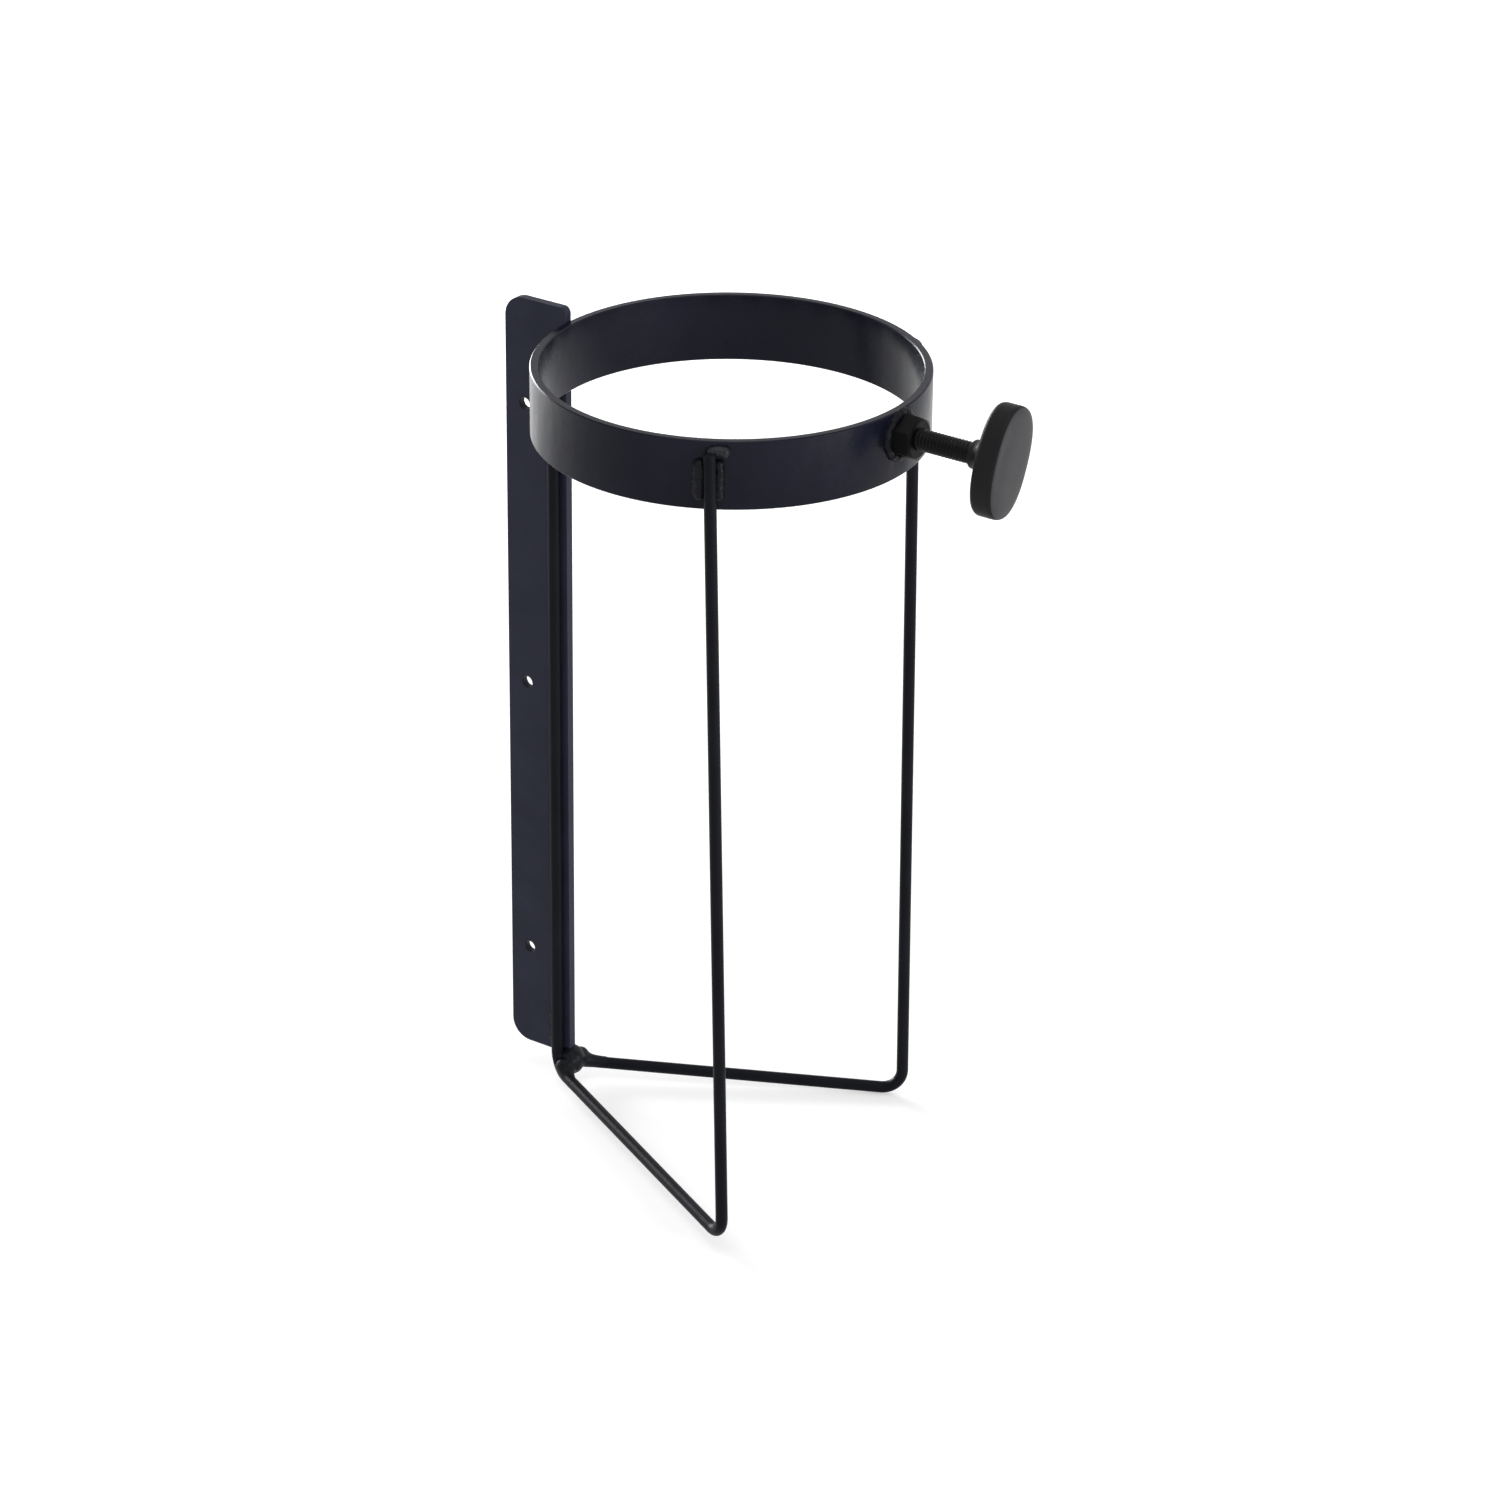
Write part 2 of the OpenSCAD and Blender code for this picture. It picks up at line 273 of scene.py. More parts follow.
@dataclass
class Graph:
    """A shader tree that nodes are added to and linked in, from left to right.

    Attributes:
        SPACING: Distance between the nodes, in the node editor's units.
        MIX: Places of a colour mix's inputs for the share and both colours, and of its result.
        tree: A material's, group's or world's node tree.
        column: How many nodes the graph has added.
    """

    SPACING = 180
    MIX = (0, 6, 7, 2)

    tree: bpy.types.NodeTree
    column: int = 0

    @classmethod
    def emptied(cls, owner: bpy.types.Material | bpy.types.World) -> "Graph":
        """Starts a graph in a material or world, without the nodes that it came with.

        Args:
            owner: The material or world.

        Returns:
            The graph.
        """
        owner.use_nodes = True
        owner.node_tree.nodes.clear()
        return cls(owner.node_tree)

    def node(self, kind: str, inputs: dict[str | int, object] | None = None,
             **settings: object) -> bpy.types.Node:
        """Adds a node.

        Args:
            kind: The node's type name, without the ShaderNode prefix.
            inputs: Values for its input sockets, or output sockets to link to them, by the name
                or the place of the input.
            settings: Values for the node's own properties.

        Returns:
            The new node.
        """
        made = self.tree.nodes.new("ShaderNode" + kind)
        self.column += 1
        made.location = (self.column * self.SPACING, 0)
        for name, value in settings.items():
            setattr(made, name, value)
        for name, value in (inputs or {}).items():
            socket = made.inputs[name]
            if isinstance(value, bpy.types.NodeSocket):
                self.tree.links.new(value, socket)
            else:
                socket.default_value = value
        return made

    def mix(self, share: bpy.types.NodeSocket, low: bpy.types.NodeSocket,
            high: bpy.types.NodeSocket) -> bpy.types.NodeSocket:
        """Mixes two colours.

        Args:
            share: How much of the second colour there is.
            low: The first colour's socket.
            high: The second colour's socket.

        Returns:
            The mixed colour's socket.
        """
        share_at, low_at, high_at, result_at = self.MIX
        inputs = {share_at: share, low_at: low, high_at: high}
        return self.node("Mix", inputs, data_type="RGBA").outputs[result_at]


def linear(colour: Colour) -> tuple[float, float, float, float]:
    """A display colour, from 0 to 255, as the linear colour that shaders take.

    Args:
        colour: Red, green and blue as a screen shows them.

    Returns:
        Linear red, green, blue and a full alpha.
    """
    knee, slope, offset, power = 0.04045, 12.92, 0.055, 2.4
    red, green, blue = (
        part / slope if part <= knee else ((part + offset) / (1 + offset)) ** power
        for part in (c / 255 for c in colour)
    )
    return (red, green, blue, 1.0)


class SurfaceGroup:
    """The shader group that every finish uses for its grain, mottling and the painted highlight
    along its edges.

    Attributes:
        NAME: The group's name.
        COLOURS: Its inputs for colours.
        VALUES: Its inputs for numbers.
        DETAIL: The detail of each noise.
        PATCHES: Values of the mottle between which the deep colour turns into the pale one.
        EDGE: Agreement of the rounded and the true normal where the painted edge highlight starts
            and is full.
        EDGE_SAMPLES: Samples that round the edges.
    """

    NAME = "fine_surface"
    COLOURS = ("Deep Color", "Pale Color", "Edge Highlight Color")
    VALUES = ("Mottle Scale", "Grain Scale", "Grain Height", "Wave Scale", "Wave Height",
              "Roughness Low", "Roughness High", "Edge Width")
    DETAIL = {"Mottle": 4.0, "Grain": 3.0, "Wave": 1.0}
    PATCHES = (0.3, 0.7)
    EDGE = (0.995, 0.8)
    EDGE_SAMPLES = 4

    def tree(self) -> bpy.types.NodeTree:
        """The group, which is made the first time it is asked for."""
        return bpy.data.node_groups.get(self.NAME) or self._make()

    def _make(self) -> bpy.types.NodeTree:
        """Makes the group.

        Returns:
            The new node group.
        """
        tree = bpy.data.node_groups.new(self.NAME, "ShaderNodeTree")
        face = tree.interface
        for name in self.COLOURS:
            face.new_socket(name, in_out="INPUT", socket_type="NodeSocketColor")
        for name in self.VALUES:
            face.new_socket(name, in_out="INPUT", socket_type="NodeSocketFloat")
        face.new_socket("Color", in_out="OUTPUT", socket_type="NodeSocketColor")
        face.new_socket("Roughness", in_out="OUTPUT", socket_type="NodeSocketFloat")
        face.new_socket("Normal", in_out="OUTPUT", socket_type="NodeSocketVector")
        graph = Graph(tree)
        given = tree.nodes.new("NodeGroupInput").outputs
        result = tree.nodes.new("NodeGroupOutput").inputs
        place = graph.node("TexCoord").outputs["Object"]
        noises = {}
        for name, detail in self.DETAIL.items():
            inputs = {"Vector": place, "Scale": given[f"{name} Scale"], "Detail": detail}
            noises[name] = graph.node("TexNoise", inputs).outputs["Fac"]
        tree.links.new(self._colour(graph, given, noises["Mottle"]), result["Color"])
        shine = self._ramp(graph, noises["Mottle"], self.PATCHES,
                           {"To Min": given["Roughness Low"], "To Max": given["Roughness High"]})
        tree.links.new(shine, result["Roughness"])
        waved = graph.node("Bump", {"Height": noises["Wave"], "Distance": given["Wave Height"]})
        bumped = graph.node("Bump", {"Height": noises["Grain"], "Distance": given["Grain Height"],
                                     "Normal": waved.outputs["Normal"]})
        tree.links.new(bumped.outputs["Normal"], result["Normal"])
        return tree

    def _colour(self, graph: Graph, given: bpy.types.NodeOutputs,
                mottle: bpy.types.NodeSocket) -> bpy.types.NodeSocket:
        """Adds the nodes of the mottled colour and of the painted edge highlight over it.

        Args:
            graph: The group's graph.
            given: The group's inputs.
            mottle: The noise of the patches.

        Returns:
            The colour's socket.
        """
        rounded = graph.node("Bevel", {"Radius": given["Edge Width"]}, samples=self.EDGE_SAMPLES)
        true_normal = graph.node("NewGeometry").outputs["Normal"]
        agreement = graph.node("VectorMath", {0: rounded.outputs["Normal"], 1: true_normal},
                               operation="DOT_PRODUCT")
        # The edge colour mixed in here is a painted highlight along the edges.
        edge = self._ramp(graph, agreement.outputs["Value"], self.EDGE)
        patches = self._ramp(graph, mottle, self.PATCHES)
        body = graph.mix(patches, given["Deep Color"], given["Pale Color"])
        return graph.mix(edge, body, given["Edge Highlight Color"])

    @staticmethod
    def _ramp(graph: Graph, value: bpy.types.NodeSocket, span: tuple[float, float],
              ends: dict[str, object] | None = None) -> bpy.types.NodeSocket:
        """Maps a value from a span to 0 and 1, or to two given ends.

        Args:
            graph: The group's graph.
            value: The value's socket.
            span: Values that map to the two ends.
            ends: The map's inputs for its ends, where they aren't 0 and 1.

        Returns:
            The mapped value's socket.
        """
        inputs = {"Value": value, "From Min": span[0], "From Max": span[1], **(ends or {})}
        return graph.node("MapRange", inputs).outputs["Result"]


@dataclass(frozen=True)
class Finish:
    """One finish: a principled shader with a fine procedural surface.

    Attributes:
        name: The material's name.
        deep: Display colour of its darker patches.
        pale: Display colour of its lighter patches.
        edge: Display colour along its edges, a painted highlight.
        roughness: Lowest and highest roughness.
        specular: Specular level of the shader.
        mottle_scale: Patches in a metre.
        grain_scale: Grains in a metre.
        grain_height: Height of the grain.
        wave_scale: Waves in a metre.
        wave_height: Height of the waves.
        edge_width: Width of the painted edge highlight.
    """

    name: str
    deep: Colour
    pale: Colour
    edge: Colour
    roughness: tuple[float, float] = (0.38, 0.46)
    specular: float = 0.12
    mottle_scale: float = 45.0
    grain_scale: float = 1400.0
    grain_height: float = 0.02 * MM
    wave_scale: float = 260.0
    wave_height: float = 0.05 * MM
    edge_width: float = 0.5 * MM

    def material(self) -> bpy.types.Material:
        """The material, which is made the first time it is asked for."""
        return bpy.data.materials.get(self.name) or self._make()

    def _make(self) -> bpy.types.Material:
        """Makes the material.

        Returns:
            The new material.
        """
        made = bpy.data.materials.new(self.name)
        graph = Graph.emptied(made)
        surface = graph.node("Group", {
            "Deep Color": linear(self.deep),
            "Pale Color": linear(self.pale),
            "Edge Highlight Color": linear(self.edge),
            "Mottle Scale": self.mottle_scale,
            "Grain Scale": self.grain_scale,
            "Grain Height": self.grain_height,
            "Wave Scale": self.wave_scale,
            "Wave Height": self.wave_height,
            "Roughness Low": self.roughness[0],
            "Roughness High": self.roughness[1],
            "Edge Width": self.edge_width,
        }, node_tree=SurfaceGroup().tree())
        shader = graph.node("BsdfPrincipled", {
            "Base Color": surface.outputs["Color"],
            "Roughness": surface.outputs["Roughness"],
            "Normal": surface.outputs["Normal"],
            "Specular IOR Level": self.specular,
        })
        graph.node("OutputMaterial", {"Surface": shader.outputs["BSDF"]})
        return made


# The bar's coat is the same black coat as the ring's, painted lighter: painted light on the bar's
# lit face.
BAR_COAT_PAINTED_LIGHT = Finish("satin_bar_coat_painted_light", deep=(42, 44, 58), pale=(50, 52, 67), edge=(57, 59, 72),
                  specular=0.08)
RING_COAT = Finish("satin_ring_coat", deep=(14, 16, 28), pale=(20, 22, 37), edge=(23, 25, 38),
                   roughness=(0.22, 0.31), specular=0.11)
WIRE_COAT = Finish("satin_wire_coat", deep=(15, 16, 21), pale=(22, 23, 29), edge=(23, 24, 30),
                   specular=0.06)
WELD_COAT = Finish("coated_weld_metal", deep=(13, 14, 18), pale=(22, 23, 29), edge=(25, 27, 33),
                   roughness=(0.34, 0.5), specular=0.1, wave_scale=600.0, wave_height=0.12 * MM)
# A paler weld finish for the rounded cap across each outer leg's top: a painted highlight on the
# cap.
WELD_CAP_PAINTED_HIGHLIGHT = Finish("weld_cap_painted_highlight", deep=(29, 31, 35), pale=(39, 41, 45), edge=(44, 46, 50),
                     roughness=(0.34, 0.44), specular=0.2, wave_scale=600.0,
                     wave_height=0.12 * MM)
NUT_COAT = Finish("coated_nut", deep=(9, 9, 11), pale=(15, 15, 17), edge=(18, 18, 21),
                  specular=0.07)
BLACK_STEEL = Finish("blackened_screw_steel", deep=(9, 9, 10), pale=(16, 16, 18),
                     edge=(21, 21, 23), roughness=(0.36, 0.48), mottle_scale=160.0, specular=0.1,
                     edge_width=0.15 * MM)
KNOB_PLASTIC = Finish("moulded_knob_plastic", deep=(22, 22, 24), pale=(29, 29, 31),
                      edge=(32, 32, 34), roughness=(0.45, 0.55), grain_scale=2600.0,
                      grain_height=0.03 * MM)
# The knob's front is the same black plastic as its moulding, painted lighter grey: a painted
# highlight where the lamp on the right falls on it.
KNOB_FACE_PAINTED_HIGHLIGHT = Finish("knob_face_painted_highlight", deep=(50, 50, 52), pale=(62, 62, 64), edge=(54, 54, 56),
                   roughness=(0.5, 0.6), specular=0.25, mottle_scale=70.0, grain_scale=2600.0,
                   grain_height=0.03 * MM)
NYLON = Finish("natural_nylon", deep=(214, 209, 196), pale=(226, 222, 210), edge=(232, 228, 218),
               roughness=(0.4, 0.5), specular=0.5, edge_width=0.2 * MM)


# ---------- the welded frame


@dataclass(frozen=True)
class Softened:
    """A CAD node that keeps its shape and gets rounded edges and a finish.

    Attributes:
        node: The node's name.
        finish: Its finish.
        edge: Width of its rounded edges, or 0 to leave them.
        same_point: Distance within which points are joined.
        flat_angle: Angle up to which faces are joined into one, in degrees.
        sharp_angle: Angle from which an edge is rounded, in degrees.
        segments: Rows of faces across a rounded edge.
    """

    node: str
    finish: Finish
    edge: float
    same_point: float = 0.001 * MM
    flat_angle: float = 0.5
    sharp_angle: float = 32
    segments: int = 3

    def dress(self) -> None:
        """Gives the node its material and its rounded edges."""
        made = frame["nodes"][self.node]
        made.data.materials.clear()
        made.data.materials.append(self.finish.material())
        if self.edge:
            self._round(made)
        LOG.info("%s: %s", self.node, self.finish.name)

    def _round(self, made: bpy.types.Object) -> None:
        """Adds the modifiers that join the mesh's flat faces and round its edges.

        Args:
            made: The node's object.
        """
        weld = made.modifiers.new("join_points", "WELD")
        weld.merge_threshold = self.same_point
        flat = made.modifiers.new("join_flat_faces", "DECIMATE")
        flat.decimate_type = "DISSOLVE"
        flat.angle_limit = math.radians(self.flat_angle)
        bevel = made.modifiers.new("round_edges", "BEVEL")
        bevel.width = self.edge
        bevel.segments = self.segments
        bevel.limit_method = "ANGLE"
        bevel.angle_limit = math.radians(self.sharp_angle)
        bevel.harden_normals = True


@dataclass(frozen=True)
class Bead:
    """A rippled weld bead along a path.

    Attributes:
        path: Points along the middle of the bead.
        outward: The way its open side faces.
        radius: The bead's radius.
        closed: Whether its end meets its start.
        pitch: Distance between ripples.
        ripple: Depth of the ripples, as a share of the radius.
        ripple_power: Power of a ripple's slope, where 1 is a saw tooth.
        ripple_level: Height in a ripple at which the bead has its plain radius.
        ripple_lag: How far the ripples lag on the open side, in ripples.
        lump: Depth of its uneven lumps, as a share of the radius.
        lump_size: Size of the lumps.
        blunt: Smallest square of the share of the radius that is left at an end.
        sides: Points round the bead.
    """

    path: tuple[Vector, ...]
    outward: Vector
    radius: float
    closed: bool = False
    pitch: float = 1.7 * MM
    ripple: float = 0.1
    ripple_power: float = 0.6
    ripple_level: float = 0.55
    ripple_lag: float = 0.35
    lump: float = 0.22
    lump_size: float = 2.4 * MM
    blunt: float = 0.02
    sides: int = 24

    def shell(self) -> Shell:
        """Makes the bead's surface.

        Returns:
            The surface.
        """
        total = sum((b - a).length for a, b in zip(self.path, self.path[1:]))
        done = 0.0
        rings = []
        for i, point in enumerate(self.path):
            if i:
                done += (point - self.path[i - 1]).length
            rings.append(self._ring(i, point, done, total))
        return loft(rings, self.closed)

    def _ring(self, index: int, point: Vector, done: float, total: float) -> list[Vector]:
        """Points round the bead at one place.

        Args:
            index: Which point of the path this is.
            point: The point itself.
            done: Distance from the path's start.
            total: The path's length.

        Returns:
            A loop of points.
        """
        count = len(self.path)
        if self.closed:
            after, before = self.path[(index + 1) % count], self.path[index - 1]
            end = 1.0
        else:
            after, before = self.path[min(index + 1, count - 1)], self.path[max(index - 1, 0)]
            reach = min(done, total - done) / self.radius
            end = math.sqrt(max(self.blunt, 1 - (1 - min(reach, 1.0)) ** 2))
        along = (after - before).normalized()
        out = (self.outward - along * self.outward.dot(along)).normalized()
        across = along.cross(out)
        ring = []
        for k in range(self.sides):
            angle = TURN * k / self.sides
            way = out * math.cos(angle) + across * math.sin(angle)
            phase = done / self.pitch - self.ripple_lag * math.cos(angle)
            wave = (phase % 1.0) ** self.ripple_power - self.ripple_level
            uneven = noise.noise((point + way * self.radius) / self.lump_size)
            swell = 1 + self.ripple * wave + self.lump * uneven
            ring.append(point + way * self.radius * end * swell)
        return ring


def straight(start: Vector, end: Vector, step: float = 0.2 * MM) -> tuple[Vector, ...]:
    """Evenly spaced points from one place to another.

    Args:
        start: The first point.
        end: The last point.
        step: About how far apart they are.

    Returns:
        The points.
    """
    count = max(2, round((end - start).length / step))
    return tuple(start.lerp(end, i / count) for i in range(count + 1))


@dataclass(frozen=True)
class WeldedFrame:
    """The bar, the ring, both wires, the nut and the welds between them.

    Attributes:
        layout: The shared places.
        bead: Radius of the long beads.
        heavy_bead: Radius of the bead on the bar side of each outer leg.
        cap_bead: Length of the bead across the top of an outer leg.
        cap_start: How far that bead starts before the leg's axis.
        rim: Bare strip of the band above and below a bead.
        leg_bead: Length of the beads between an outer leg and the band.
        bar_bead: Length of the beads between an inner leg and the bar.
        end_drop: Distance from an outer leg's cut end down to the beads beside it.
        seat: A bead's axis stands off its face by its radius over this.
        ring_lean: How far the ring beads' open side leans to the bar, against 1 outwards.
        nut_radius: Radius of the ring of weld round the nut.
        nut_share: Radius of that ring's bead, as a share of the long beads'.
        nut_points: Points along that ring.
        puddle_radius: Radius of the puddle under the bar.
        puddle_shift: How far its middle lies from the solid's, towards the ring.
        puddle_voxel: Size of the voxels that join its balls.
        puddle_flow: Strength and rounds of the smoothing after that.
        foot_depth: Distance from the puddle's middle down to the foot wires.
        wire_bend: Radius of the wires' bends.
        run_out: How far the puddle runs out along each foot wire.
        run_start: Where the run-out's balls start, as a share of it.
        run_balls: How many stretches lie between them.
        run_swell: How much thicker than the wire it would be at the puddle's middle.
        run_inward: How far it moves off the wire to the inside, as a share of its swell.
        run_skin: How far the wire stands out of it at its end.
    """

    layout: Layout
    bead: float = 1.9 * MM
    heavy_bead: float = 2.6 * MM
    cap_bead: float = 8 * MM
    cap_start: float = 1 * MM
    rim: float = 1.0 * MM
    leg_bead: float = 15 * MM
    bar_bead: float = 14 * MM
    end_drop: float = 3 * MM
    seat: float = 3
    ring_lean: float = 0.4
    nut_radius: float = 8.0 * MM
    nut_share: float = 0.9
    nut_points: int = 220
    puddle_radius: float = 5.9 * MM
    puddle_shift: float = 1 * MM
    puddle_voxel: float = 0.3 * MM
    puddle_flow: tuple[float, int] = (0.6, 20)
    foot_depth: float = 3.2 * MM
    wire_bend: float = 8 * MM
    run_out: float = 14 * MM
    run_start: float = 0.3
    run_balls: int = 12
    run_swell: float = 3.4 * MM
    run_inward: float = 0.8
    run_skin: float = 0.05 * MM

    def build(self) -> None:
        """Dresses the solids and makes the welds."""
        # The bar gets the black coat painted lighter, as painted light on its lit face.
        Softened("mounting_bar", BAR_COAT_PAINTED_LIGHT, edge=0.35 * MM).dress()
        Softened("ring_band", RING_COAT, edge=0.3 * MM).dress()
        Softened("weld_nut", NUT_COAT, edge=0.25 * MM).dress()
        for side in Side:
            Softened(f"{side.name.lower()}_wire", WIRE_COAT, edge=0).dress()
            self._ring_weld(side)
            self._leg_welds(side)
            self._bar_welds(side)
        self._foot_weld()
        self._nut_weld()

    def _weld(self, name: str, beads: Sequence[Bead], highlighted: Sequence[Bead] = ()) -> None:
        """Makes one piece of several beads, in place of the node of that name.

        Args:
            name: The node's name.
            beads: The coated beads.
            highlighted: Beads painted paler, a painted highlight.
        """
        whole = Shell()
        for bead in beads:
            whole.add(bead.shell())
        coated = len(whole.faces)
        # Beads listed here get the paler finish, a painted highlight.
        for bead in highlighted:
            whole.add(bead.shell())
        whole.accent = set(range(coated, len(whole.faces)))
        finishes = (WELD_COAT, WELD_CAP_PAINTED_HIGHLIGHT) if highlighted else (WELD_COAT,)
        whole.piece(name + "_beads", Body.BRACKET, "weld_coat", finishes, (name,))

    def _ring_weld(self, side: Side) -> None:
        """Makes the bead in the corner between the bar's face and the ring.

        Args:
            side: Which face of the bar.
        """
        low, high = self.layout.band
        corner = self.layout.bar[1]
        x, y = corner.x, side.value * (corner.y + self.bead / self.seat)
        path = straight(Vector((x, y, high.z - self.rim)), Vector((x, y, low.z + self.rim)))
        outward = Vector((-self.ring_lean, side.value, 0))
        self._weld(f"{side.name.lower()}_ring_weld", [Bead(path, outward, self.bead)])

    def _leg_welds(self, side: Side) -> None:
        """Makes the beads beside an outer leg, heavy towards the bar, and the one across its top,
        which is painted paler as a highlight.

        Args:
            side: Which wire.
        """
        leg = self.layout.outer_leg(side)
        beads = [self._groove_bead(side, leg, 1, self.heavy_bead),
                 self._groove_bead(side, leg, -1, self.bead)]
        angle = side.value * math.radians(self.layout.wire_angle)
        out = Vector((math.cos(angle), math.sin(angle), 0))
        along = Vector((math.sin(angle), -math.cos(angle), 0)) * side.value
        depth = self.layout.wire_radius - self.bead / self.seat
        start = leg - out * depth - along * self.cap_start
        cap = Bead(straight(start, start + along * self.cap_bead), out, self.bead)
        # The cap bead across the leg's top gets the paler finish, a painted highlight.
        self._weld(f"{side.name.lower()}_leg_welds", beads, (cap,))

    def _groove_bead(self, side: Side, leg: Vector, way: int, radius: float) -> Bead:
        """One bead in the groove between an outer leg and the band.

        Args:
            side: Which wire.
            leg: The leg's cut end.
            way: 1 towards the bar and -1 away from it.
            radius: The bead's radius.

        Returns:
            The bead.
        """
        centre = self.layout.ring_centre
        groove = math.atan2(self.layout.wire_radius + radius / 2, self.layout.ring_radius)
        angle = side.value * (math.radians(self.layout.wire_angle) + way * groove)
        out = Vector((math.cos(angle), math.sin(angle), 0))
        reach = self.layout.ring_radius + radius / self.seat
        top = Vector((centre.x, 0, leg.z - self.end_drop)) + out * reach
        return Bead(straight(top, top - Vector((0, 0, self.leg_bead))), out, radius)

    def _bar_welds(self, side: Side) -> None:
        """Makes the beads between an inner leg and the bar, at its top and at its foot.

        Args:
            side: Which wire.
        """
        low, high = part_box(f"{side.name.lower()}_bar_welds")
        x = self.layout.inner_leg(side).x - self.layout.wire_radius
        y = side.value * (self.layout.bar[1].y + self.bead / self.seat)
        outward = Vector((-1, side.value, 0))
        beads = []
        for top in (high.z, low.z + self.bar_bead):
            start = Vector((x, y, top))
            path = straight(start, start - Vector((0, 0, self.bar_bead)))
            beads.append(Bead(path, outward, self.bead))
        self._weld(f"{side.name.lower()}_bar_welds", beads)

    def _foot_weld(self) -> None:
        """Makes the puddle under the bar, which runs out between both wires."""
        low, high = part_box("foot_weld")
        middle = Vector(((low.x + high.x) / 2 + self.puddle_shift, 0, (low.z + high.z) / 2))
        whole = self._ball(middle, self.puddle_radius)
        for side in Side:
            for place, radius in self._run_out(side, middle.z):
                whole.add(self._ball(place, radius))
        made = whole.piece("foot_weld_puddle", Body.BRACKET, "weld_coat", (WELD_COAT,),
                           ("foot_weld",))
        fuse = made.modifiers.new("fuse", "REMESH")
        fuse.mode = "VOXEL"
        fuse.voxel_size = self.puddle_voxel
        fuse.use_smooth_shade = True
        flow = made.modifiers.new("flow", "SMOOTH")
        flow.factor, flow.iterations = self.puddle_flow

    def _run_out(self, side: Side, height: float) -> list[tuple[Vector, float]]:
        """Places and sizes of the balls that run out along a foot wire, over its inner side.

        Args:
            side: Which wire.
            height: Height of the puddle's middle.

        Returns:
            Each ball's middle and radius.
        """
        outer, inner = self.layout.outer_leg(side), self.layout.inner_leg(side)
        way = Vector((outer.x - inner.x, outer.y - inner.y, 0)).normalized()
        inward = Vector((abs(way.y), -side.value * way.x, 0))
        thinnest = self.layout.wire_radius - self.run_skin
        balls = []
        for i in range(self.run_balls + 1):
            run = self.run_out * (self.run_start + (1 - self.run_start) * i / self.run_balls)
            excess = self.run_swell * (1 - run / self.run_out) ** 2
            short = max(self.wire_bend - run, 0.0)
            rise = self.wire_bend - math.sqrt(self.wire_bend ** 2 - short ** 2)
            place = Vector((inner.x, inner.y, height - self.foot_depth + rise + excess)) + way * run
            balls.append((place + inward * excess * self.run_inward, thinnest + excess))
        return balls

    @staticmethod
    def _ball(centre: Vector, radius: float, steps: int = 20, flat: float = 0.01,
              lump: float = 0.08, lump_size: float = 3 * MM) -> Shell:
        """A lumpy ball.

        Args:
            centre: Its middle.
            radius: Its radius.
            steps: Rings from its top to its bottom.
            flat: Share of the way down at which the first ring lies.
            lump: Depth of its lumps, as a share of the radius.
            lump_size: Size of the lumps.

        Returns:
            The ball's surface.
        """
        rings = []
        for i in range(steps + 1):
            tilt = math.pi * min(max(i / steps, flat), 1 - flat)
            ring = []
            for k in range(2 * steps):
                turn = TURN * k / (2 * steps)
                way = Vector((math.sin(tilt) * math.cos(turn), math.sin(tilt) * math.sin(turn),
                              math.cos(tilt)))
                uneven = noise.noise((centre + way * radius) / lump_size)
                ring.append(centre + way * radius * (1 + lump * uneven))
            rings.append(ring)
        return loft(rings)

    def _nut_weld(self) -> None:
        """Makes the ring of weld round the nut, which follows the band's curve."""
        axis, centre = self.layout.screw_axis, self.layout.ring_centre
        path = []
        for i in range(self.nut_points):
            angle = TURN * i / self.nut_points
            y, z = self.nut_radius * math.cos(angle), self.nut_radius * math.sin(angle)
            x = centre.x + math.sqrt(self.layout.ring_radius ** 2 - y ** 2)
            path.append(Vector((x, y, axis.z + z)))
        radius = self.bead * self.nut_share
        self._weld("nut_weld", [Bead(tuple(path), Vector((1, 0, 0)), radius, closed=True)])


# ---------- the thumbscrew


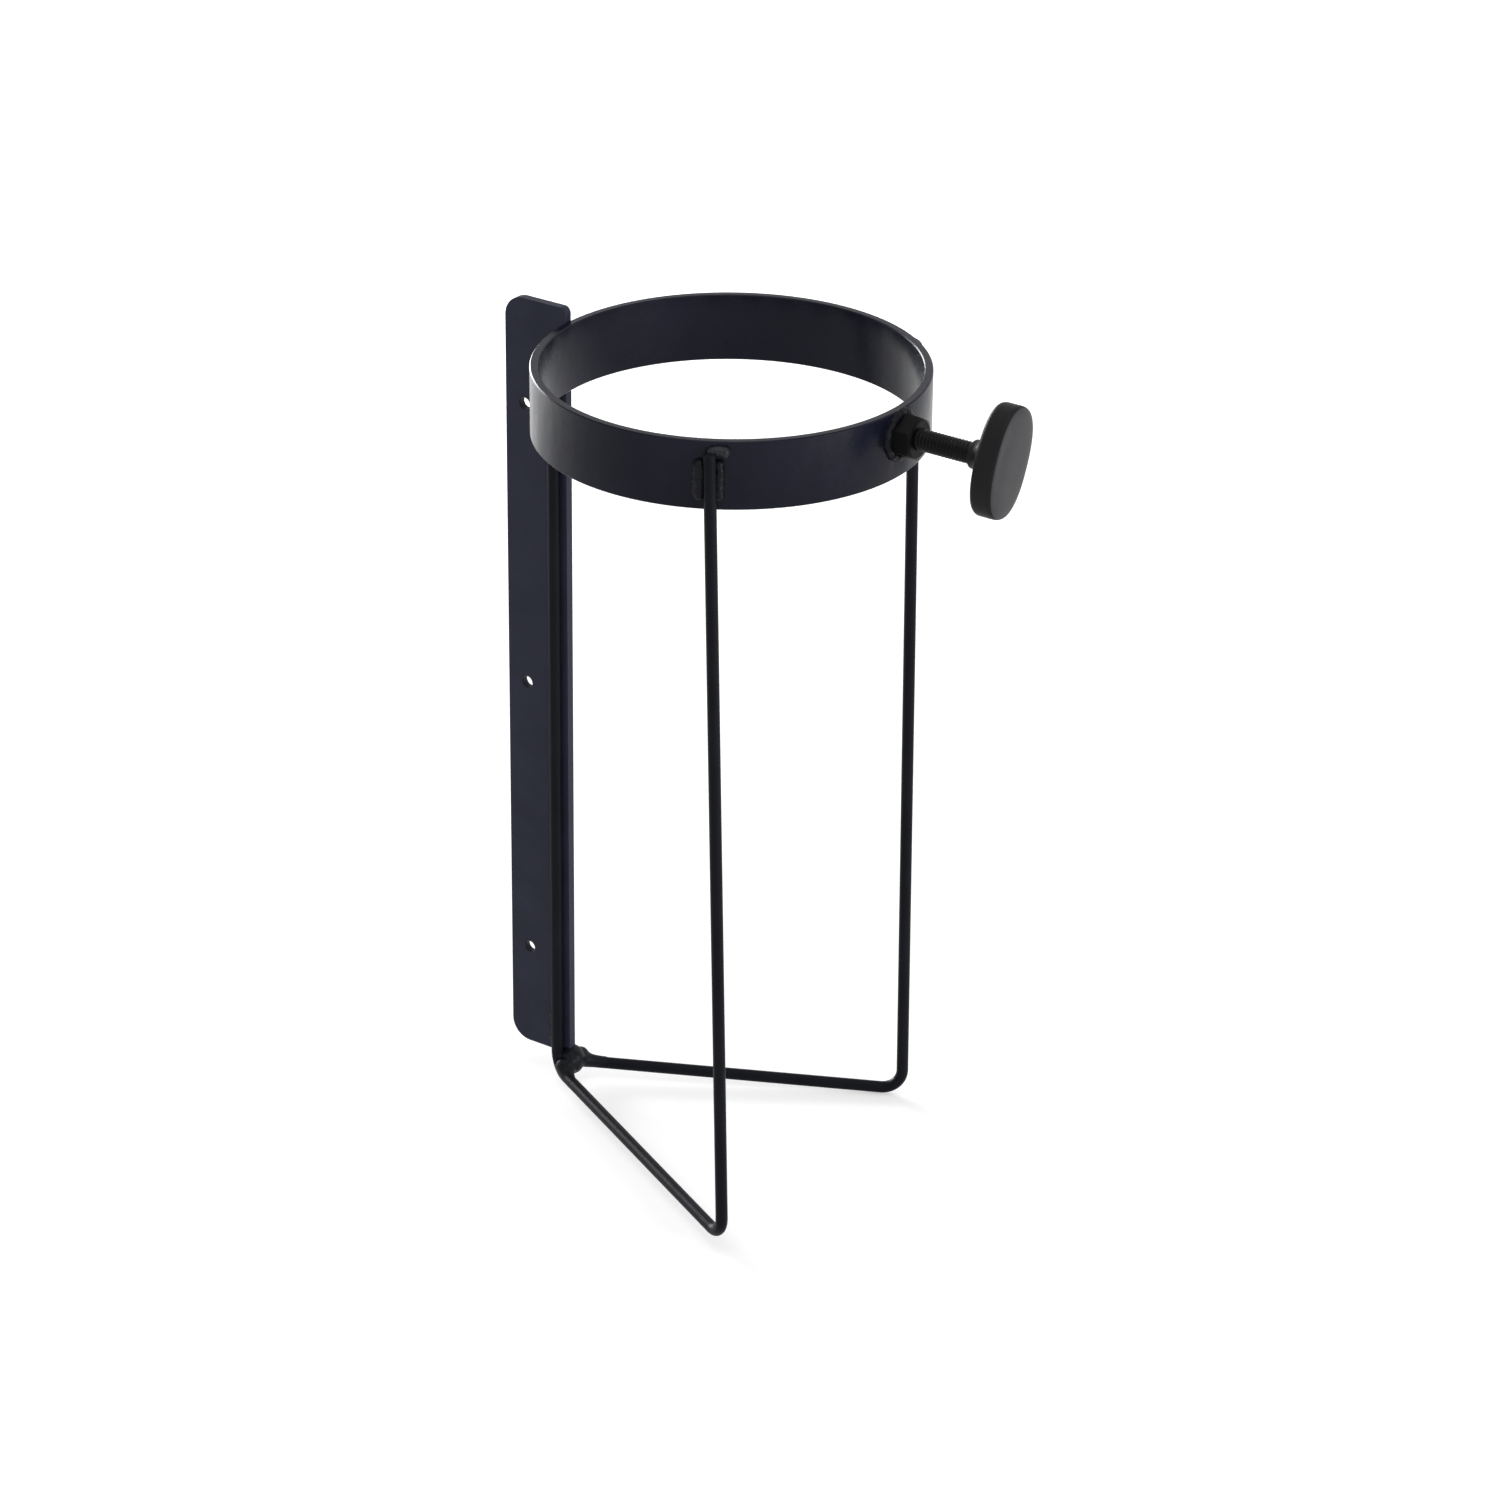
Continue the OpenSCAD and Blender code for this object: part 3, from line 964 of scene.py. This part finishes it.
@dataclass(frozen=True)
class Thumbscrew:
    """The threaded stud, the oval knob moulded on its end, and the soft tip.

    Attributes:
        layout: The shared places.
        pitch: Pitch of the thread.
        depth: Depth of the thread.
        sides: Points in a turn of the thread.
        profile: Places across one pitch of the thread, as (share of the pitch, share of the depth).
        chamfer: Chamfer of the stud's inner end.
        knob_half: Half the knob's length and width.
        oval_power: Power of the knob's oval, where 2 is an ellipse.
        rim: Rounding of the knob's back rim.
        rim_lead: Flat strip of the back beside that rounding.
        cap_share: Share of the half width at which the back's one flat face starts.
        rim_steps: Rows of faces round the back rim, and half as many as round the face.
        pillow: Depth of the knob's rounded face.
        pillow_power: Power of the face's section, where 2 is an ellipse.
        black_rows: Rows of faces round the face's edge that stay black; the faces inside them are
            painted lighter, a painted highlight.
        face_swell: How far the moulded face swells past the plain solid.
        lean: Angle of the knob's long axis from upright, in degrees.
        hub_length: Length of the hub.
        hub_radius: Radius of the hub where it meets the knob.
        hub_neck: Radius of its free end.
        hub_edge: Rounding of that end.
        hub_flare: How late along its length it widens, where 1 is a cone.
        hub_sunk: How far it runs on into the knob.
        hub_steps: Rows of faces along it, and round its rounded end.
        hub_sides: Points round it.
    """

    layout: Layout
    pitch: float = 25.4 * MM / 18
    depth: float = 0.6 * MM
    sides: int = 48
    profile: tuple[tuple[float, float], ...] = ((0.0, 0.0), (0.12, 0.0), (0.5, 1.0), (0.62, 1.0))
    chamfer: float = 0.8 * MM
    knob_half: tuple[float, float] = (20.2 * MM, 11.4 * MM)
    oval_power: float = 2.3
    rim: float = 2.4 * MM
    rim_lead: float = 0.4 * MM
    cap_share: float = 0.5
    rim_steps: int = 10
    pillow: float = 4.2 * MM
    pillow_power: float = 3.2
    black_rows: int = 5
    face_swell: float = 1.5 * MM
    lean: float = 22.9
    hub_length: float = 6 * MM
    hub_radius: float = 9 * MM
    hub_neck: float = 5.2 * MM
    hub_edge: float = 0.4 * MM
    hub_flare: float = 2.2
    hub_sunk: float = 0.3 * MM
    hub_steps: tuple[int, int] = (14, 4)
    hub_sides: int = 64

    def build(self) -> None:
        """Makes the stud and the knob, and dresses the tip."""
        self._stud()
        self._knob()
        Softened("soft_tip", NYLON, edge=0.2 * MM).dress()

    def _point(self, along: float, y: float, z: float) -> Vector:
        """A point given by its place along the screw's axis and across it."""
        return Vector((along, y, self.layout.screw_axis.z + z))

    def _stud(self) -> None:
        """Makes the stud with its helical thread, chamfered at the inner end."""
        low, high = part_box("thumbscrew_stud")
        radius = (high.z - low.z) / 2
        turns = math.ceil((high.x - low.x) / self.pitch) + 2
        rows = [(i + share, dip) for i in range(-1, turns) for share, dip in self.profile]
        step = len(self.profile)
        shell = Shell()
        for share, dip in rows:
            for k in range(self.sides):
                angle = TURN * k / self.sides
                x = low.x + (share + k / self.sides) * self.pitch
                held = min(max(x, low.x), high.x)
                reach = min(radius - self.depth * dip, radius - self.chamfer + (held - low.x))
                shell.points.append(
                    self._point(held, reach * math.cos(angle), reach * math.sin(angle)))
        for i in range(len(rows) - 1):
            for k in range(self.sides - 1):
                a, b = i * self.sides + k, (i + 1) * self.sides + k
                shell.faces.append((a, a + 1, b + 1, b))
            if i + step + 1 < len(rows):
                a, b = i * self.sides + self.sides - 1, (i + 1) * self.sides + self.sides - 1
                c, d = (i + step) * self.sides, (i + step + 1) * self.sides
                shell.faces.append((a, c, d, b))
        shell.piece("threaded_stud", Body.THUMBSCREW, "stud_steel", (BLACK_STEEL,),
                    ("thumbscrew_stud",))

    def _oval(self, along: float, inset: float, points: int = 96) -> list[Vector]:
        """A loop of the knob's oval.

        Args:
            along: Its place along the screw's axis.
            inset: Distance in from the knob's outline.
            points: Points in the loop.

        Returns:
            The loop.
        """
        power, tilt = 2 / self.oval_power, math.radians(self.lean)
        loop = []
        for k in range(points):
            angle = TURN * k / points
            c, s = math.cos(angle), math.sin(angle)
            u = max(self.knob_half[0] - inset, 0.0) * math.copysign(abs(c) ** power, c)
            v = max(self.knob_half[1] - inset, 0.0) * math.copysign(abs(s) ** power, s)
            loop.append(self._point(along, u * math.sin(tilt) - v * math.cos(tilt),
                                    u * math.cos(tilt) + v * math.sin(tilt)))
        return loop

    def _knob(self) -> None:
        """Makes the knob and its hub."""
        low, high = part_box("oval_knob")
        back, shoulder = low.x + self.hub_length, high.x + self.face_swell - self.pillow
        rows, width = 2 * self.rim_steps, self.knob_half[1]
        rim_back = arc((self.rim, back + self.rim), self.rim, 270, 180, self.rim_steps)
        inner = [(width * self.cap_share, back), (self.rim + self.rim_lead, back)]
        power = 2 / self.pillow_power
        front = []
        for i in range(rows):
            angle = TURN / 4 * i / rows
            front.append((width * (1 - math.cos(angle) ** power),
                          shoulder + self.pillow * math.sin(angle) ** power))
        rings = [self._oval(x, inset) for inset, x in (*inner, *rim_back, *front)]
        whole = loft(rings)
        # The faces inside the black rows get the paler finish, a painted highlight on the knob's
        # lit front.
        black = (len(inner) + len(rim_back) + self.black_rows) * len(rings[0])
        whole.accent = {i for i, quad in enumerate(whole.faces) if min(quad) >= black}
        whole.add(self._hub(low.x, back))
        whole.piece("oval_knob_moulding", Body.THUMBSCREW, "knob_plastic",
                    (KNOB_PLASTIC, KNOB_FACE_PAINTED_HIGHLIGHT), ("oval_knob",))

    def _hub(self, start: float, back: float) -> Shell:
        """The hub, which flares into the back of the knob.

        Args:
            start: Place of the hub's free end along the axis.
            back: Place of the knob's back along the axis.

        Returns:
            The hub's surface.
        """
        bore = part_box("thumbscrew_stud")
        inner = (bore[1].z - bore[0].z) / 2
        edge, (steps, edge_steps) = self.hub_edge, self.hub_steps
        profile = [(inner, start), (self.hub_neck - edge, start)]
        profile += arc((self.hub_neck - edge, start + edge), edge, 270, 360, edge_steps)[1:]
        for i in range(1, steps + 1):
            share = i / steps
            widened = (self.hub_radius - self.hub_neck) * share ** self.hub_flare
            profile.append((self.hub_neck + widened,
                            start + edge + (back - start - edge + self.hub_sunk) * share))
        turns = [TURN * k / self.hub_sides for k in range(self.hub_sides)]
        return loft([[self._point(x, r * math.cos(turn), r * math.sin(turn)) for turn in turns]
                     for r, x in profile])


# ---------- the studio


@dataclass(frozen=True)
class Softbox:
    """A square area lamp that looks at the object.

    Attributes:
        name: The lamp's name.
        place: Where it is.
        side: Length of its side.
        power: Its power, in watts.
    """

    name: str
    place: tuple[float, float, float]
    side: float
    power: float

    def light(self, target: Vector) -> None:
        """Makes the lamp.

        Args:
            target: What it looks at.
        """
        lamp = bpy.data.lights.new(self.name, "AREA")
        lamp.size = self.side
        lamp.energy = self.power
        made = bpy.data.objects.new(self.name, lamp)
        made.location = self.place
        made.rotation_euler = (target - made.location).to_track_quat("-Z", "Y").to_euler()
        bpy.context.scene.collection.objects.link(made)


@dataclass(frozen=True)
class Studio:
    """The camera, the pale floor, the white surroundings and the soft lamps.

    Attributes:
        layout: The shared places.
        azimuth: The camera's angle round the object, in degrees.
        elevation: Its angle above the horizon, in degrees.
        roll: How far it leans, in degrees.
        distance: How far it is from what it looks at.
        shift_right: Place of what it looks at, to the right of the ring's axis.
        shift_up: The same upwards in the picture, from the top of the band.
        lens: Focal length for a 36 mm sensor, in millimetres.
        clip: Nearest and furthest place that the camera sees.
        floor_size: Length of the floor's side.
        floor_gap: How far the floor lies under the object.
        floor_grey: Its linear colour.
        glow_reach: Distances along the floor between which its glow grows.
        glow: Strength of the glow at those distances, where the floor is seen.
        world: Strength of the surroundings as a light, and where they are seen.
        lamps: The soft lamps.
    """

    layout: Layout
    azimuth: float = 34.1
    elevation: float = 26.04
    roll: float = 0.65
    distance: float = 1.81134
    shift_right: float = 8.07 * MM
    shift_up: float = -136.36 * MM
    lens: float = 122.9
    clip: tuple[float, float] = (0.05, 50)
    floor_size: float = 12.0
    floor_gap: float = 0.2 * MM
    floor_grey: float = 0.8
    glow_reach: tuple[float, float] = (0.5, 1.6)
    glow: tuple[float, float] = (0.35, 1.0)
    world: tuple[float, float] = (0.45, 1.0)
    lamps: tuple[Softbox, ...] = (
        Softbox("left_softbox", (-1.8, 0.62, 0.2), 1.1, 76.0),
        Softbox("right_softbox", (2.0, 0.0, 0.35), 0.8, 20.0),
        Softbox("top_softbox", (0.3, -0.4, 1.9), 1.2, 6.0),
    )

    def build(self) -> None:
        """Makes the whole studio."""
        self._camera()
        self._floor()
        self._world()
        middle = (CAD_BOX[0] + CAD_BOX[1]) / 2
        for lamp in self.lamps:
            lamp.light(middle)
        bpy.context.scene.view_settings.view_transform = "Standard"

    def _camera(self) -> None:
        """Makes the camera."""
        angles = (self.azimuth, self.elevation, self.roll)
        around, rise, lean = (math.radians(angle) for angle in angles)
        back = Vector((math.sin(around) * math.cos(rise), -math.cos(around) * math.cos(rise),
                       math.sin(rise)))
        right = Vector((math.cos(around), math.sin(around), 0))
        up = back.cross(right)
        target = self.layout.ring_centre + right * self.shift_right + up * self.shift_up
        axes = Matrix((right * math.cos(lean) + up * math.sin(lean),
                       up * math.cos(lean) - right * math.sin(lean), back))
        data = bpy.data.cameras.new("camera")
        data.lens = self.lens
        data.clip_start, data.clip_end = self.clip
        made = bpy.data.objects.new("camera", data)
        place = Matrix.Translation(target + back * self.distance)
        made.matrix_world = place @ axes.transposed().to_4x4()
        bpy.context.scene.collection.objects.link(made)
        bpy.context.scene.camera = made

    def _floor(self) -> None:
        """Makes the floor, which the camera sees as almost white."""
        half, low = self.floor_size / 2, CAD_BOX[0].z - self.floor_gap
        mesh = bpy.data.meshes.new("floor")
        corners = [(-half, -half, low), (half, -half, low), (half, half, low), (-half, half, low)]
        mesh.from_pydata(corners, [], [(0, 1, 2, 3)])
        mesh.materials.append(self._floor_material())
        floor = bpy.data.objects.new("floor", mesh)
        bpy.context.scene.collection.objects.link(floor)

    def _floor_material(self) -> bpy.types.Material:
        """Makes the floor's material, which glows more the further it is from the object.

        Returns:
            The new material.
        """
        material = bpy.data.materials.new("pale_floor")
        graph = Graph.emptied(material)
        diffuse = graph.node("BsdfDiffuse", {"Color": (*[self.floor_grey] * 3, 1)})
        place = graph.node("TexCoord").outputs["Object"]
        away = graph.node("VectorMath", {"Vector": place}, operation="LENGTH")
        lit = graph.node("MapRange", {
            "Value": away.outputs["Value"],
            "From Min": self.glow_reach[0], "From Max": self.glow_reach[1],
            "To Min": self.glow[0], "To Max": self.glow[1],
        })
        glow = graph.node("Emission", {"Color": WHITE, "Strength": lit.outputs["Result"]})
        both = graph.node("AddShader", {0: diffuse.outputs[0], 1: glow.outputs[0]})
        chosen = graph.node("MixShader", {0: self._seen(graph), 1: diffuse.outputs[0],
                                          2: both.outputs[0]})
        graph.node("OutputMaterial", {"Surface": chosen.outputs[0]})
        return material

    @staticmethod
    def _seen(graph: Graph) -> bpy.types.NodeSocket:
        """Tells the rays that show a background from those that only carry light.

        Args:
            graph: The graph to add the nodes to.

        Returns:
            A socket that is 1 for camera, glossy and transmission rays.
        """
        path = graph.node("LightPath").outputs
        first = graph.node("Math", {0: path["Is Camera Ray"], 1: path["Is Glossy Ray"]},
                           operation="MAXIMUM")
        second = graph.node("Math", {0: first.outputs[0], 1: path["Is Transmission Ray"]},
                            operation="MAXIMUM")
        return second.outputs[0]

    def _world(self) -> None:
        """Makes the surroundings: white where they show, and plain soft light elsewhere."""
        world = bpy.data.worlds.new("white_surroundings")
        graph = Graph.emptied(world)
        strength = graph.node("MapRange", {"Value": self._seen(graph), "To Min": self.world[0],
                                           "To Max": self.world[1]})
        light = graph.node("Background", {"Color": WHITE, "Strength": strength.outputs["Result"]})
        graph.node("OutputWorld", {"Surface": light.outputs[0]})
        bpy.context.scene.world = world


def main() -> None:
    """Builds the object's looks and the studio."""
    logging.basicConfig(level=logging.INFO, format="%(name)s: %(message)s")
    layout = Layout()
    WeldedFrame(layout).build()
    Thumbscrew(layout).build()
    Studio(layout).build()


if __name__ == "__main__":
    main()
